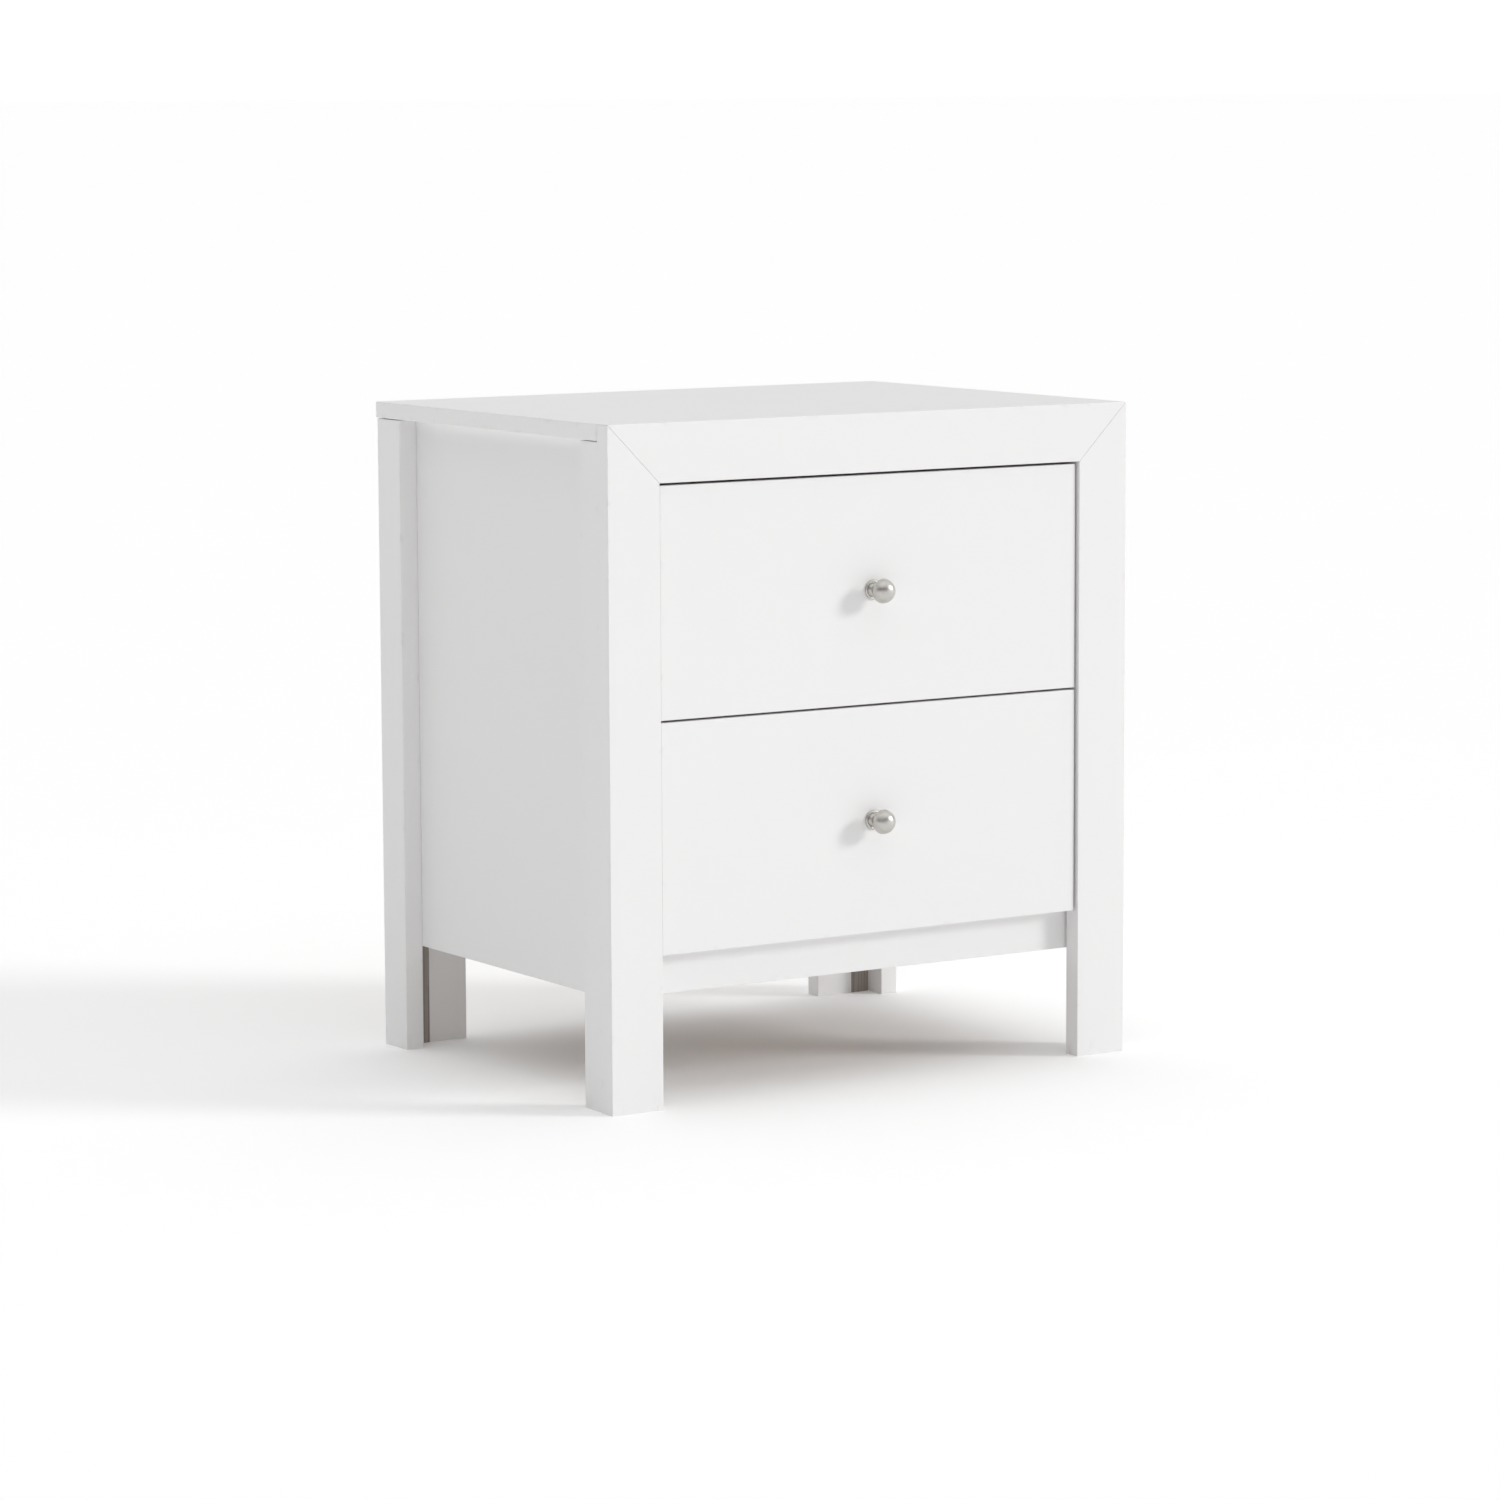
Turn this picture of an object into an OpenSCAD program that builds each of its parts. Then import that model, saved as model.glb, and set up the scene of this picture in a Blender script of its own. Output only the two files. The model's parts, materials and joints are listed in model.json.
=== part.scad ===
// Nightstand with two inset drawers and a mitred front frame.
// Row frame: +Z up, front towards -Y, origin on the floor at the middle of the outline
// (the outline includes the two knobs). Millimetres.

/* [Overall size] */
// Width of the top, side to side
width = 560; // [520:5:640]
// Depth from the face of the front frame to the back edge of the top
depth = 420; // [410:5:470]
// Height from the floor to the top face
height = 610; // [600:5:660]

/* [Carcass boards] */
// Thickness of the top
top_t = 15; // [14:1:18]
// Thickness of the front frame, leg strips and rear boards
frame_t = 18; // [16:1:20]
// Face width of the two stiles and of the top rail
frame_w = 53; // [50:1:58]
// Thickness of the side panels
panel_t = 16; // [14:1:18]
// Thickness of the hardboard back
back_t = 3; // [3:1:5]
// Height of the side panels' lower edge above the floor
panel_low = 98; // [85:1:99]

/* [Legs] */
// How far the leg strips stand in from the edge of the top
leg_inset = 1; // [0.5:0.5:2]
// Depth of the strip behind each front stile
front_leg_d = 30.5; // [28:0.5:40]
// Depth of each rear leg's side strip
rear_leg_d = 42; // [36:1:55]
// Width of each rear leg's inner board
rear_leg_w = 40; // [36:1:60]
// Width of the bare wood post in the corner of each rear leg
post_w = 20; // [16:1:24]

/* [Apron and rear rails] */
// Height of the apron's lower edge above the floor
apron_low = 100.5; // [99.5:0.5:101]
// Height of the apron board
apron_h = 49.5; // [45:0.5:49.5]
// Distance from the frame's face to the apron's face
apron_set = 20; // [20:0.5:22]
// Thickness of the apron
apron_t = 16; // [15:1:18]
// Height of the two rear rails
rail_h = 50; // [46:1:60]

/* [Drawers] */
// Distance from the frame's face to the drawer fronts' face
drawer_setback = 3.5; // [2.5:0.5:4]
// Thickness of the drawer fronts
front_t = 15; // [15:0.5:15.5]
// Gap between each side of a drawer front and its stile
gap_side = 2.2; // [1.6:0.1:3]
// Gap between the top rail and the upper drawer front
gap_top = 2.5; // [1.5:0.1:3]
// Gap between the two drawer fronts
gap_mid = 2; // [1.5:0.1:3]
// Height of the lower drawer front's lower edge above the floor
front_low = 138; // [138:1:145]
// Thickness of the drawer sides and backs
box_t = 12; // [12:1:13]
// Height of the drawer sides
box_h = 130; // [110:5:160]
// Length of the drawer sides and of the runners
box_l = 350; // [330:5:350]
// Height of the drawer sides' lower edge above the front's lower edge
box_rise = 16; // [16:1:20]
// Thickness of the drawer bottoms
bottom_t = 3; // [3:0.5:4]
// How far a drawer opens
drawer_travel = 260; // [220:5:260]

/* [Knobs] */
// Diameter of the knob's head
knob_d = 22.5; // [20:0.5:28]
// Distance from the drawer front's face to the knob's tip
knob_out = 26.5; // [24:0.5:32]
// Diameter of the knob's base
knob_base_d = 18; // [16:0.5:20]

/* [Runners] */
// Space between the opening's edge and the drawer side that a runner pair fills
runner_gap = 12.5; // [12.5:0.1:13]
// Thickness of the runner steel
steel_t = 1.2; // [1:0.1:1.2]
// Diameter of the nylon rollers
roller_d = 18; // [16:0.5:18]
// Width of the nylon rollers
roller_w = 8; // [7.5:0.1:8]

/* [Hidden] */

$fn = 48;

// Finishes
WHITE = "#f4f3f1";
FOIL = "#efeeea";
HARDBOARD = "#e6e2da";
BARE_WOOD = "#c9a67a";
NICKEL = "#b9b6b0";
STEEL = "#d9dbdc";
ZINC = "#a9adb0";
NYLON = "#f7f7f5";

// Sides and drawers by number, for the modules that draw either of a pair
LEFT = 0;
RIGHT = 1;
LOWER = 0;
UPPER = 1;

// Depth planes, front to back
y_face = -(depth - (knob_out - drawer_setback)) / 2;
y_frame = y_face + frame_t;
y_apron = y_face + apron_set;
y_back = y_face + depth;
y_rear = y_back - leg_inset;
y_board = y_rear - frame_t;
y_hard = y_board - back_t;

// Width planes, from the outside in, as distances from the middle
x_out = width / 2;
x_leg = x_out - leg_inset;
x_panel = x_leg - frame_t;
x_in = x_panel - panel_t;
x_post = x_panel - post_w;
x_rail = x_post - rear_leg_w;
x_open = x_out - frame_w;

// Height plane under the top
z_under = height - top_t;

// Drawer fronts and boxes
front_h = (height - frame_w - gap_top - front_low - gap_mid) / 2;
x_front = x_open - gap_side;
y_front = y_face + drawer_setback;
y_box = y_front + front_t;
y_box_end = y_box + box_l;
x_box = x_open - runner_gap;
x_bay = x_box - box_t;
groove_d = 6;
groove_up = 10;
function front_z(level) = front_low + level * (front_h + gap_mid);
function box_z(level) = front_z(level) + box_rise;

// Runner pair: u is measured inwards from the opening's edge, v up from the drawer side's lower edge
roller_r = roller_d / 2;
rolling_gap = 0.3;
rail_v = 26;
cabinet_flange_u = 10.5;
cabinet_lip_u = 9;
axle_v = steel_t + rolling_gap + roller_r;
track_v = axle_v + roller_r + rolling_gap;
web_u = runner_gap - steel_t;
drawer_leg_w = box_t;
drawer_flange_u = 2.5;
runner_play = 1.5;
runner_start = y_box + runner_play;
runner_short = 2;
runner_end = y_box_end - runner_short;
lip_cut = 45;
roller_end = 12;
front_axle_y = runner_start + roller_end;
rear_axle_y = runner_end - roller_end;
axle_r = 2.5;
axle_play = 0.05;
axle_head_r = 4;
axle_head_t = 0.75;
side_play = 0.1;
front_roller_u = 2;
rear_roller_u = 2.5;
roller_edge = 0.8;
nib_h = 4;
nib_l = 3;
nib_in = 1;

// Fixings
dowel_d = 8;
dowel_l = 30;
dowel_short = 9;
dowel_top = 10;
dowel_edge = 12;
top_dowel_in = 80;
stile_dowel_z = [150, 450];
cam_r = 7.5;
cam_reach = 24;
cam_thread = 10;
cam_bolt_r = 3.5;
cam_shank_r = 2.5;
cam_bolt_l = 4;
cam_floor = 0.6;
cam_slot = [3, 7, 1.2];
top_cam_in = 40;
box_cam_up = 40;
box_cam_down = 25;
screw_head_r = 3.5;
screw_r = 1.75;
screw_tip = 3;
screw_y = [60, 190, 320];
box_screw_v = 5;
packer_screw_l = 16;
box_screw_l = 10;
nail_r = 0.8;
nail_l = 12;
nail_head_r = 2.5;
nail_head_t = 0.8;
nail_in = 11;
nail_z = [160, 300, 450];
nail_rail_x = 100;
knob_screw_r = 2;
knob_screw_in = 9;
knob_screw_end = 1;
knob_screw_play = 0.25;
knob_screw_head_r = 4;
knob_screw_head_t = 2.6;
packer_h = 50;
packer_below = 2;
packer_l = box_l + 10;

// Knob's turning: its foot, its waist and its head
base_edge = 1.2;
base_h = 2.4;
neck_r = 4.6;
neck_low = 4;
neck_lap = 0.6;
rim_share = 0.62;
rim_h = 2.4;
dome_round = 0.75;
dome_cone = 1.25;
curve_steps = 8;

// How far a cutting solid runs past the face that it cuts
past = 1;

// ---- helpers ----

// A board between two opposite corners
module board(low, high) {
    translate(low) cube(high - low);
}

// Draws its children on the left, as they are, or mirrored to the right
module on_side(side) {
    mirror([side, 0, 0]) children();
}

module both_sides() {
    for (side = [LEFT, RIGHT]) on_side(side) children();
}

// ---- fixings, each drawn where it sits; the boards are cut by the same solids ----

module dowel() {
    cylinder(d = dowel_d, h = dowel_l, center = true);
}

module top_dowels() {
    both_sides()
        for (y = [y_frame + top_dowel_in, y_board - top_dowel_in])
            translate([-x_panel + panel_t / 2, y, z_under + dowel_top - dowel_l / 2]) dowel();
}

module stile_dowels() {
    both_sides()
        for (z = stile_dowel_z)
            translate([-x_leg + frame_t / 2, y_frame - dowel_short + dowel_l / 2, z])
                rotate([90, 0, 0]) dowel();
}

module apron_dowels() {
    both_sides()
        for (z = [apron_low + dowel_edge, apron_low + apron_h - dowel_edge])
            translate([-x_in - dowel_short + dowel_l / 2, y_apron + apron_t / 2, z])
                rotate([0, 90, 0]) dowel();
}

module rail_dowels() {
    both_sides()
        for (low = [panel_low, z_under - rail_h])
            for (up = [dowel_edge, rail_h - dowel_edge])
                translate([-x_rail, y_board + frame_t / 2, low + up])
                    rotate([0, 90, 0]) dowel();
}

module mitre_dowels() {
    both_sides()
        translate([-x_out + frame_w / 2, y_face + frame_t / 2, height - frame_w / 2])
            rotate([0, 45, 0]) dowel();
}

// A cam disc and its bolt. The joint is the plane z = 0: the bolt's thread goes up into the first
// board, its shank down to the disc, which is let into the second board's face at x = 0.
module cam_fitting(second_t) {
    disc_t = cam_depth(second_t);
    difference() {
        translate([-disc_t, 0, -cam_reach]) rotate([0, 90, 0]) cylinder(r = cam_r, h = disc_t);
        translate([-second_t / 2, 0, -cam_reach - cam_bolt_l])
            cylinder(r = cam_bolt_r + side_play, h = cam_r + cam_bolt_l + past);
        for (turn = [0, 90])
            translate([0, 0, -cam_reach]) rotate([turn, 0, 0]) cube(cam_slot, center = true);
    }
    translate([-second_t / 2, 0, 0]) {
        translate([0, 0, -cam_reach - cam_bolt_l / 2]) cylinder(r = cam_bolt_r, h = cam_bolt_l);
        translate([0, 0, -cam_reach]) cylinder(r = cam_shank_r, h = cam_reach);
        cylinder(r = cam_bolt_r, h = cam_thread);
    }
}

// How deep a disc sits in a board: just past the bolt
function cam_depth(board_t) = board_t / 2 + cam_bolt_r + cam_floor;

// The same fitting as one block, for cutting the boards
module cam_cut(second_t) {
    disc_t = cam_depth(second_t);
    translate([-disc_t, 0, -cam_reach]) rotate([0, 90, 0]) cylinder(r = cam_r, h = disc_t + past);
    translate([-second_t / 2, 0, -cam_reach]) cylinder(r = cam_bolt_r, h = cam_reach + cam_thread);
}

// Places its children at the four joints between the top and the side panels
module at_top_cams() {
    both_sides()
        for (y = [y_frame + top_cam_in, y_board - top_cam_in])
            translate([-x_in, y, z_under]) children();
}

// Places its children at the joints between a cross board's back face at y and its left and right ends
module at_end_cams(x, y, heights) {
    both_sides()
        for (z = heights)
            translate([-x, y, z]) rotate([-90, 0, 0]) rotate([0, -90, 0]) children();
}

module at_apron_cams() {
    at_end_cams(x_in, y_apron + apron_t, [apron_low + apron_h / 2]) children();
}

module at_box_cams(level) {
    cam_heights = [box_z(level) + box_cam_up, box_z(level) + box_h - box_cam_down];
    both_sides()
        for (z = cam_heights)
            translate([-x_bay, y_box, z]) rotate([90, 0, 0]) children();
    at_end_cams(x_bay, y_box_end, cam_heights) children();
}

// Countersunk screw along -Z, its head's flat top at z = 0
module countersunk(length) {
    rotate_extrude()
        polygon([
            [0, 0], [screw_head_r, 0], [screw_r, screw_r - screw_head_r],
            [screw_r, screw_tip - length], [0, -length]
        ]);
}

module cabinet_screws(level) {
    both_sides()
        for (y = screw_y)
            translate([-x_open + steel_t, y_face + y, box_z(level) + axle_v])
                rotate([0, 90, 0]) countersunk(packer_screw_l);
}

module box_screws(level) {
    both_sides()
        for (y = screw_y)
            translate([-x_open + web_u, y_face + y, box_z(level) + box_screw_v])
                rotate([0, -90, 0]) countersunk(box_screw_l);
}

module nails() {
    spots = concat(
        [for (x = [-1, 1], z = nail_z) [x * (x_post - nail_in), z]],
        [for (x = [-1, 1], z = [panel_low + rail_h / 2, z_under - rail_h / 2]) [x * nail_rail_x, z]]
    );
    for (spot = spots)
        translate([spot[0], y_hard, spot[1]]) rotate([-90, 0, 0]) {
            translate([0, 0, -nail_head_t]) cylinder(r = nail_head_r, h = nail_head_t);
            cylinder(r = nail_r, h = nail_l);
        }
}

// ---- carcass ----

module top_panel() color(WHITE)
    difference() {
        board([-x_out, y_frame, z_under], [x_out, y_back, height]);
        top_dowels();
        at_top_cams() cam_cut(panel_t);
    }

module front_top_rail() color(WHITE)
    difference() {
        translate([0, y_frame, 0]) rotate([90, 0, 0]) linear_extrude(frame_t)
            polygon([
                [-x_out, height], [x_out, height],
                [x_open, height - frame_w], [-x_open, height - frame_w]
            ]);
        mitre_dowels();
    }

module stile(side) color(WHITE) on_side(side)
    difference() {
        translate([0, y_frame, 0]) rotate([90, 0, 0]) linear_extrude(frame_t)
            polygon([[-x_out, 0], [-x_open, 0], [-x_open, height - frame_w], [-x_out, height]]);
        mitre_dowels();
        stile_dowels();
    }

module front_stile_left() stile(LEFT);
module front_stile_right() stile(RIGHT);

module front_leg_side(side) color(WHITE) on_side(side)
    difference() {
        board([-x_leg, y_frame, 0], [-x_panel, y_frame + front_leg_d, z_under]);
        stile_dowels();
    }

module front_leg_side_left() front_leg_side(LEFT);
module front_leg_side_right() front_leg_side(RIGHT);

module rear_leg_side(side) color(WHITE) on_side(side)
    board([-x_leg, y_rear - rear_leg_d, 0], [-x_panel, y_rear, z_under]);

module rear_leg_side_left() rear_leg_side(LEFT);
module rear_leg_side_right() rear_leg_side(RIGHT);

module rear_leg_back(side) color(WHITE) on_side(side)
    difference() {
        board([-x_post, y_board, 0], [-x_rail, y_rear, z_under]);
        rail_dowels();
        nails();
    }

module rear_leg_back_left() rear_leg_back(LEFT);
module rear_leg_back_right() rear_leg_back(RIGHT);

module rear_corner_post(side) color(BARE_WOOD) on_side(side)
    board([-x_panel, y_board, 0], [-x_post, y_rear, z_under]);

module rear_corner_post_left() rear_corner_post(LEFT);
module rear_corner_post_right() rear_corner_post(RIGHT);

module side_panel(side) color(WHITE) on_side(side)
    difference() {
        board([-x_panel, y_frame, panel_low], [-x_in, y_board, z_under]);
        top_dowels();
        apron_dowels();
        at_top_cams() cam_cut(panel_t);
        at_apron_cams() cam_cut(apron_t);
    }

module side_panel_left() side_panel(LEFT);
module side_panel_right() side_panel(RIGHT);

module apron() color(WHITE)
    difference() {
        board([-x_in, y_apron, apron_low], [x_in, y_apron + apron_t, apron_low + apron_h]);
        apron_dowels();
        at_apron_cams() cam_cut(apron_t);
    }

module rear_rail(low) color(WHITE)
    difference() {
        board([-x_rail, y_board, low], [x_rail, y_rear, low + rail_h]);
        rail_dowels();
        nails();
    }

module rear_top_rail() rear_rail(z_under - rail_h);
module rear_bottom_rail() rear_rail(panel_low);

module back_panel() color(HARDBOARD)
    difference() {
        board([-x_in, y_hard, panel_low], [x_in, y_board, z_under]);
        nails();
    }

// Board that brings the runners out to the edge of the opening
module packer(level, side) color(FOIL) on_side(side)
    difference() {
        low = box_z(level) - packer_below;
        board([-x_in, y_frame, low], [-x_open, y_frame + packer_l, low + packer_h]);
        cabinet_screws(level);
    }

module upper_packer_left() packer(UPPER, LEFT);
module upper_packer_right() packer(UPPER, RIGHT);
module lower_packer_left() packer(LOWER, LEFT);
module lower_packer_right() packer(LOWER, RIGHT);

// ---- runners and rollers ----

// A riveted axle along +X from x = 0, with a shoulder and a head either side of a roller
module axle(shoulder, reach) {
    cylinder_x(axle_r, 0, reach);
    cylinder_x(axle_head_r, 0, shoulder);
    cylinder_x(axle_head_r, reach, reach + axle_head_t);
}

module cylinder_x(r, from, to) {
    translate([from, 0, 0]) rotate([0, 90, 0]) cylinder(r = r, h = to - from);
}

// Channel on the carcass with the fixed front roller's axle and a stop near the front
module cabinet_runner(level, side) color(STEEL) on_side(side)
    translate([-x_open, 0, box_z(level)])
        difference() {
            union() {
                board([0, runner_start, 0], [steel_t, runner_start + box_l, rail_v]);
                board([0, runner_start, 0], [cabinet_flange_u, runner_start + box_l, steel_t]);
                board([0, runner_start + lip_cut, rail_v - steel_t],
                      [cabinet_lip_u, runner_start + box_l, rail_v]);
                nib_y = rear_axle_y - drawer_travel - roller_r;
                board([front_roller_u, nib_y - nib_l, 0],
                      [cabinet_flange_u - nib_in, nib_y, steel_t + nib_h]);
                translate([0, front_axle_y, axle_v])
                    axle(front_roller_u - side_play, front_roller_u + roller_w + side_play);
            }
            translate([x_open, 0, -box_z(level)]) cabinet_screws(level);
        }

module upper_cabinet_runner_left() cabinet_runner(UPPER, LEFT);
module upper_cabinet_runner_right() cabinet_runner(UPPER, RIGHT);
module lower_cabinet_runner_left() cabinet_runner(LOWER, LEFT);
module lower_cabinet_runner_right() cabinet_runner(LOWER, RIGHT);

// Stepped section on the drawer side, with the rear roller's axle
module drawer_runner(level, side) color(STEEL) on_side(side)
    translate([-x_open, 0, box_z(level)])
        difference() {
            union() {
                board([web_u, runner_start, -steel_t], [runner_gap, runner_end, track_v + steel_t]);
                board([web_u, runner_start, -steel_t], [runner_gap + drawer_leg_w, runner_end, 0]);
                board([drawer_flange_u, runner_start, track_v],
                      [runner_gap, runner_end, track_v + steel_t]);
                translate([web_u, rear_axle_y, axle_v]) mirror([1, 0, 0])
                    axle(web_u - rear_roller_u - roller_w - side_play,
                         web_u - rear_roller_u + side_play);
            }
            translate([x_open, 0, -box_z(level)]) box_screws(level);
        }

module upper_drawer_runner_left() drawer_runner(UPPER, LEFT);
module upper_drawer_runner_right() drawer_runner(UPPER, RIGHT);
module lower_drawer_runner_left() drawer_runner(LOWER, LEFT);
module lower_drawer_runner_right() drawer_runner(LOWER, RIGHT);

// Nylon wheel with softened rims, bored for its axle; u is its outer face's place in the gap
module roller(level, side, u, axle_y) color(NYLON) on_side(side)
    translate([-x_open + u, axle_y, box_z(level) + axle_v])
        rotate([0, 90, 0]) rotate_extrude()
            polygon([
                [axle_r + axle_play, 0], [roller_r - roller_edge, 0], [roller_r, roller_edge],
                [roller_r, roller_w - roller_edge], [roller_r - roller_edge, roller_w],
                [axle_r + axle_play, roller_w]
            ]);

module upper_front_roller_left() roller(UPPER, LEFT, front_roller_u, front_axle_y);
module upper_front_roller_right() roller(UPPER, RIGHT, front_roller_u, front_axle_y);
module lower_front_roller_left() roller(LOWER, LEFT, front_roller_u, front_axle_y);
module lower_front_roller_right() roller(LOWER, RIGHT, front_roller_u, front_axle_y);
module upper_rear_roller_left() roller(UPPER, LEFT, rear_roller_u, rear_axle_y);
module upper_rear_roller_right() roller(UPPER, RIGHT, rear_roller_u, rear_axle_y);
module lower_rear_roller_left() roller(LOWER, LEFT, rear_roller_u, rear_axle_y);
module lower_rear_roller_right() roller(LOWER, RIGHT, rear_roller_u, rear_axle_y);

// ---- drawers ----

module knob_spot(level) {
    translate([0, y_front, front_z(level) + front_h / 2]) rotate([90, 0, 0]) children();
}

// Bottom board, let into grooves in both sides and the front, and run under the back
module box_bottom(level) {
    low = box_z(level) + groove_up;
    board([-x_bay - groove_d, y_box - groove_d, low], [x_bay + groove_d, y_box_end, low + bottom_t]);
}

module drawer_front(level) color(WHITE)
    difference() {
        board([-x_front, y_front, front_z(level)], [x_front, y_box, front_z(level) + front_h]);
        box_bottom(level);
        at_box_cams(level) cam_cut(box_t);
        knob_spot(level) translate([0, 0, -front_t - past])
            cylinder(r = knob_screw_r + knob_screw_play, h = front_t + 2 * past);
    }

module upper_drawer_front() drawer_front(UPPER);
module lower_drawer_front() drawer_front(LOWER);

module drawer_side(level, side) color(FOIL) on_side(side)
    difference() {
        board([-x_box, y_box, box_z(level)], [-x_bay, y_box_end, box_z(level) + box_h]);
        box_bottom(level);
        box_screws(level);
        at_box_cams(level) cam_cut(box_t);
    }

module upper_drawer_side_left() drawer_side(UPPER, LEFT);
module upper_drawer_side_right() drawer_side(UPPER, RIGHT);
module lower_drawer_side_left() drawer_side(LOWER, LEFT);
module lower_drawer_side_right() drawer_side(LOWER, RIGHT);

module drawer_back(level) color(FOIL)
    difference() {
        board([-x_bay, y_box_end - box_t, box_z(level) + groove_up + bottom_t],
              [x_bay, y_box_end, box_z(level) + box_h]);
        at_box_cams(level) cam_cut(box_t);
    }

module upper_drawer_back() drawer_back(UPPER);
module lower_drawer_back() drawer_back(LOWER);

module upper_drawer_bottom() color(HARDBOARD) box_bottom(UPPER);
module lower_drawer_bottom() color(HARDBOARD) box_bottom(LOWER);

// Turned knob: dished base, waisted neck and a low domed head, its axis along +Z
module knob(level) color(NICKEL) knob_spot(level)
    difference() {
        rotate_extrude() knob_profile();
        translate([0, 0, -past]) cylinder(r = knob_screw_r, h = knob_screw_in + past);
    }

module knob_profile() {
    base_r = knob_base_d / 2;
    head_r = knob_d / 2;
    rim_z = knob_out * rim_share;
    dome_h = knob_out - rim_z - rim_h / 2;
    // base, with a rounded edge and a shallow dish
    polygon([
        [0, 0], [base_r, 0], [base_r, base_edge], [base_r - base_edge / 2, base_h - base_edge / 4],
        [base_r - base_edge * 1.5, base_h], [neck_r + base_edge, base_h + base_edge / 2],
        [neck_r, neck_low + neck_lap], [0, neck_low + neck_lap]
    ]);
    // neck, flaring into the underside of the head
    flare = head_r - rim_h / 2 - neck_r;
    polygon(concat(
        [[0, neck_low]],
        [for (i = [0:curve_steps])
            let (a = 90 * i / curve_steps)
            [neck_r + flare * (1 - cos(a)), neck_low + (rim_z - neck_low) * sin(a)]],
        [[0, rim_z]]
    ));
    // head: rounded rim and a dome that is a little conical
    translate([head_r - rim_h / 2, rim_z]) circle(r = rim_h / 2);
    polygon(concat(
        [[0, rim_z - rim_h / 2], [head_r - rim_h / 2, rim_z - rim_h / 2]],
        [for (i = [0:curve_steps])
            let (a = 90 * i / curve_steps)
            [(head_r - rim_h / 2 * (1 - cos(a))) * pow(cos(a), dome_round),
             rim_z + rim_h / 2 * sin(a) + dome_h * pow(sin(a), dome_cone)]]
    ));
}

module upper_knob() knob(UPPER);
module lower_knob() knob(LOWER);

// Pan-head machine screw from inside the drawer into the knob
module knob_screw(level) color(ZINC) knob_spot(level) {
    translate([0, 0, -front_t - knob_screw_head_t])
        cylinder(r = knob_screw_head_r, h = knob_screw_head_t);
    translate([0, 0, -front_t])
        cylinder(r = knob_screw_r, h = front_t + knob_screw_in - knob_screw_end);
}

module upper_knob_screw() knob_screw(UPPER);
module lower_knob_screw() knob_screw(LOWER);

// ---- groups of like fixings ----

module frame_dowels() color(BARE_WOOD) {
    top_dowels();
    stile_dowels();
    apron_dowels();
    rail_dowels();
    mitre_dowels();
}

module frame_cam_fittings() color(ZINC) {
    at_top_cams() cam_fitting(panel_t);
    at_apron_cams() cam_fitting(apron_t);
}

module cabinet_runner_screws() color(ZINC)
    for (level = [LOWER, UPPER]) cabinet_screws(level);

module back_panel_nails() color(ZINC) nails();

module upper_drawer_runner_screws() color(ZINC) box_screws(UPPER);
module lower_drawer_runner_screws() color(ZINC) box_screws(LOWER);
module upper_drawer_cam_fittings() color(ZINC) at_box_cams(UPPER) cam_fitting(box_t);
module lower_drawer_cam_fittings() color(ZINC) at_box_cams(LOWER) cam_fitting(box_t);

// ---- one line for each node ----

top_panel();
front_top_rail();
front_stile_left();
front_stile_right();
front_leg_side_left();
front_leg_side_right();
rear_leg_side_left();
rear_leg_side_right();
rear_leg_back_left();
rear_leg_back_right();
rear_corner_post_left();
rear_corner_post_right();
side_panel_left();
side_panel_right();
apron();
rear_top_rail();
rear_bottom_rail();
back_panel();
upper_packer_left();
upper_packer_right();
lower_packer_left();
lower_packer_right();
upper_cabinet_runner_left();
upper_cabinet_runner_right();
lower_cabinet_runner_left();
lower_cabinet_runner_right();
upper_front_roller_left();
upper_front_roller_right();
lower_front_roller_left();
lower_front_roller_right();
frame_dowels();
frame_cam_fittings();
cabinet_runner_screws();
back_panel_nails();
upper_drawer_front();
upper_drawer_side_left();
upper_drawer_side_right();
upper_drawer_back();
upper_drawer_bottom();
upper_knob();
upper_knob_screw();
upper_drawer_runner_left();
upper_drawer_runner_right();
upper_rear_roller_left();
upper_rear_roller_right();
upper_drawer_runner_screws();
upper_drawer_cam_fittings();
lower_drawer_front();
lower_drawer_side_left();
lower_drawer_side_right();
lower_drawer_back();
lower_drawer_bottom();
lower_knob();
lower_knob_screw();
lower_drawer_runner_left();
lower_drawer_runner_right();
lower_rear_roller_left();
lower_rear_roller_right();
lower_drawer_runner_screws();
lower_drawer_cam_fittings();
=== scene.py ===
# %% [markdown]
# # A white nightstand with two drawers
# The sizes, the joints and the places of every part come from a CAD model, which is loaded first and
# stays where it is. Each cell below then makes one kind of piece as it is made in a workshop: boards with
# softened edges, turned knobs, folded steel runners, moulded rollers and the fixings.

import json
import math

import bpy
import numpy as np
from mathutils import Matrix, Vector


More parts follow.
